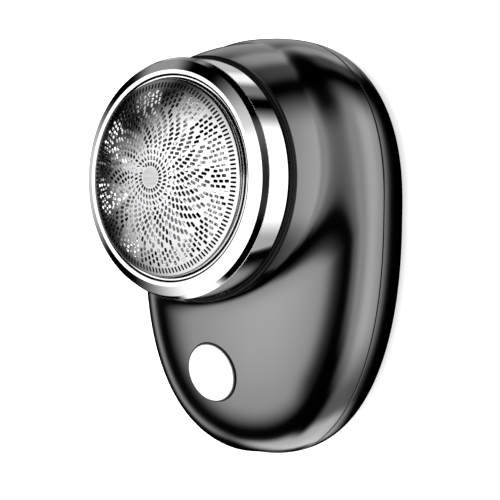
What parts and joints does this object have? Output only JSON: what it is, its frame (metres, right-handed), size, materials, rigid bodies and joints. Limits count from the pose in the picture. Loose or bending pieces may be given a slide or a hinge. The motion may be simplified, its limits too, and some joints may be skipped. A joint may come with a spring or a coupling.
{
  "type": "rotary electric shaver",
  "caption": "Pocket rotary shaver: domed perforated foil in a chrome head on a glossy egg-shaped body with a round push button below the head.",
  "frame": {"origin": "where the head axis meets the flat back the shaver lies on", "axes": "+Z along the head axis out of the foil, +Y along the body towards the head end, +X to the right seen from the front"},
  "size_m": [0.0454, 0.0665, 0.0385],
  "materials": {
    "shell_gloss": "dark gunmetal, high gloss",
    "seal_rubber": "matt black",
    "screw_steel": "dark zinc",
    "neck_black": "black gloss",
    "magnet": "nickel plated",
    "felt": "dark felt",
    "motor_steel": "zinc plated",
    "inner_plastic": "matt black",
    "shaft_steel": "ground",
    "rotor_copper": "lacquered winding",
    "drive_plastic": "natural acetal",
    "spring_steel": "spring wire",
    "cell_foil": "laminated pouch",
    "foam": "foam tape",
    "board_green": "solder mask",
    "socket_steel": "plated",
    "switch_black": "black",
    "plunger_white": "white",
    "button_white": "pearl silver",
    "collar_chrome": "mirror",
    "bezel_chrome": "mirror",
    "strike_steel": "plain",
    "foil_steel": "polished, perforated",
    "foil_ring_chrome": "plated",
    "blade_steel": "ground",
    "carrier_plastic": "black"
  },
  "bodies": {
    "handle": {"front_shell": "shell_gloss", "back_cover": "shell_gloss", "case_gasket": "seal_rubber", "case_screws": "screw_steel", "neck_ring": "neck_black", "head_magnets": "magnet", "shaft_seal": "felt", "motor_can": "motor_steel", "motor_plate": "inner_plastic", "plate_screws": "screw_steel", "motor_screws": "screw_steel", "battery": "cell_foil", "battery_pad": "foam", "circuit_board": "board_green", "board_screws": "screw_steel", "usb_socket": "socket_steel", "switch_body": "switch_black", "button_seal": "seal_rubber"},
    "shaft": {"motor_shaft": "shaft_steel", "motor_rotor": "rotor_copper", "drive_coupling": "drive_plastic", "drive_spring": "spring_steel"},
    "spindle": {"drive_spindle": "drive_plastic"},
    "button": {"button_cap": "button_white"},
    "plunger": {"switch_plunger": "plunger_white"},
    "head": {"collar_ring": "collar_chrome", "head_frame": "bezel_chrome", "head_base": "inner_plastic", "strike_ring": "strike_steel"},
    "foil_unit": {"foil": "foil_steel", "foil_ring": "foil_ring_chrome"},
    "cutter": {"cutter_blades": "blade_steel", "cutter_carrier": "carrier_plastic"}
  },
  "joints": [
    {"name": "head_pull", "type": "slide", "parent": "handle", "child": "head", "axis": [0, 0, 1], "range_m": [0, 0.015]},
    {"name": "foil_float", "type": "slide", "parent": "head", "child": "foil_unit", "axis": [0, 0, -1], "range_m": [0, 0.001], "stiffness_N_per_m": 400, "springref_m": -0.0005},
    {"name": "shaft_spin", "type": "hinge", "parent": "handle", "child": "shaft", "pos_m": [0, 0, 0], "axis": [0, 0, 1], "continuous": true},
    {"name": "cutter_spin", "type": "hinge", "parent": "foil_unit", "child": "cutter", "pos_m": [0, 0, 0], "axis": [0, 0, 1], "continuous": true},
    {"name": "spindle_float", "type": "slide", "parent": "shaft", "child": "spindle", "axis": [0, 0, -1], "range_m": [0, 0.001], "deforming": ["drive_spring"]},
    {"name": "button_press", "type": "slide", "parent": "handle", "child": "button", "axis": [0, 0.2504, -0.9681], "range_m": [0, 0.0004], "stiffness_N_per_m": 1500, "springref_m": -0.0003, "deforming": ["button_seal"]},
    {"name": "plunger_press", "type": "slide", "parent": "handle", "child": "plunger", "axis": [0, 0, -1], "range_m": [0, 0.0004]}
  ],
  "couplings": [
    {"joint": "shaft_spin", "follows": "cutter_spin", "ratio": 1},
    {"joint": "spindle_float", "follows": "foil_float", "ratio": 1},
    {"joint": "plunger_press", "follows": "button_press", "ratio": 0.96815}
  ]
}
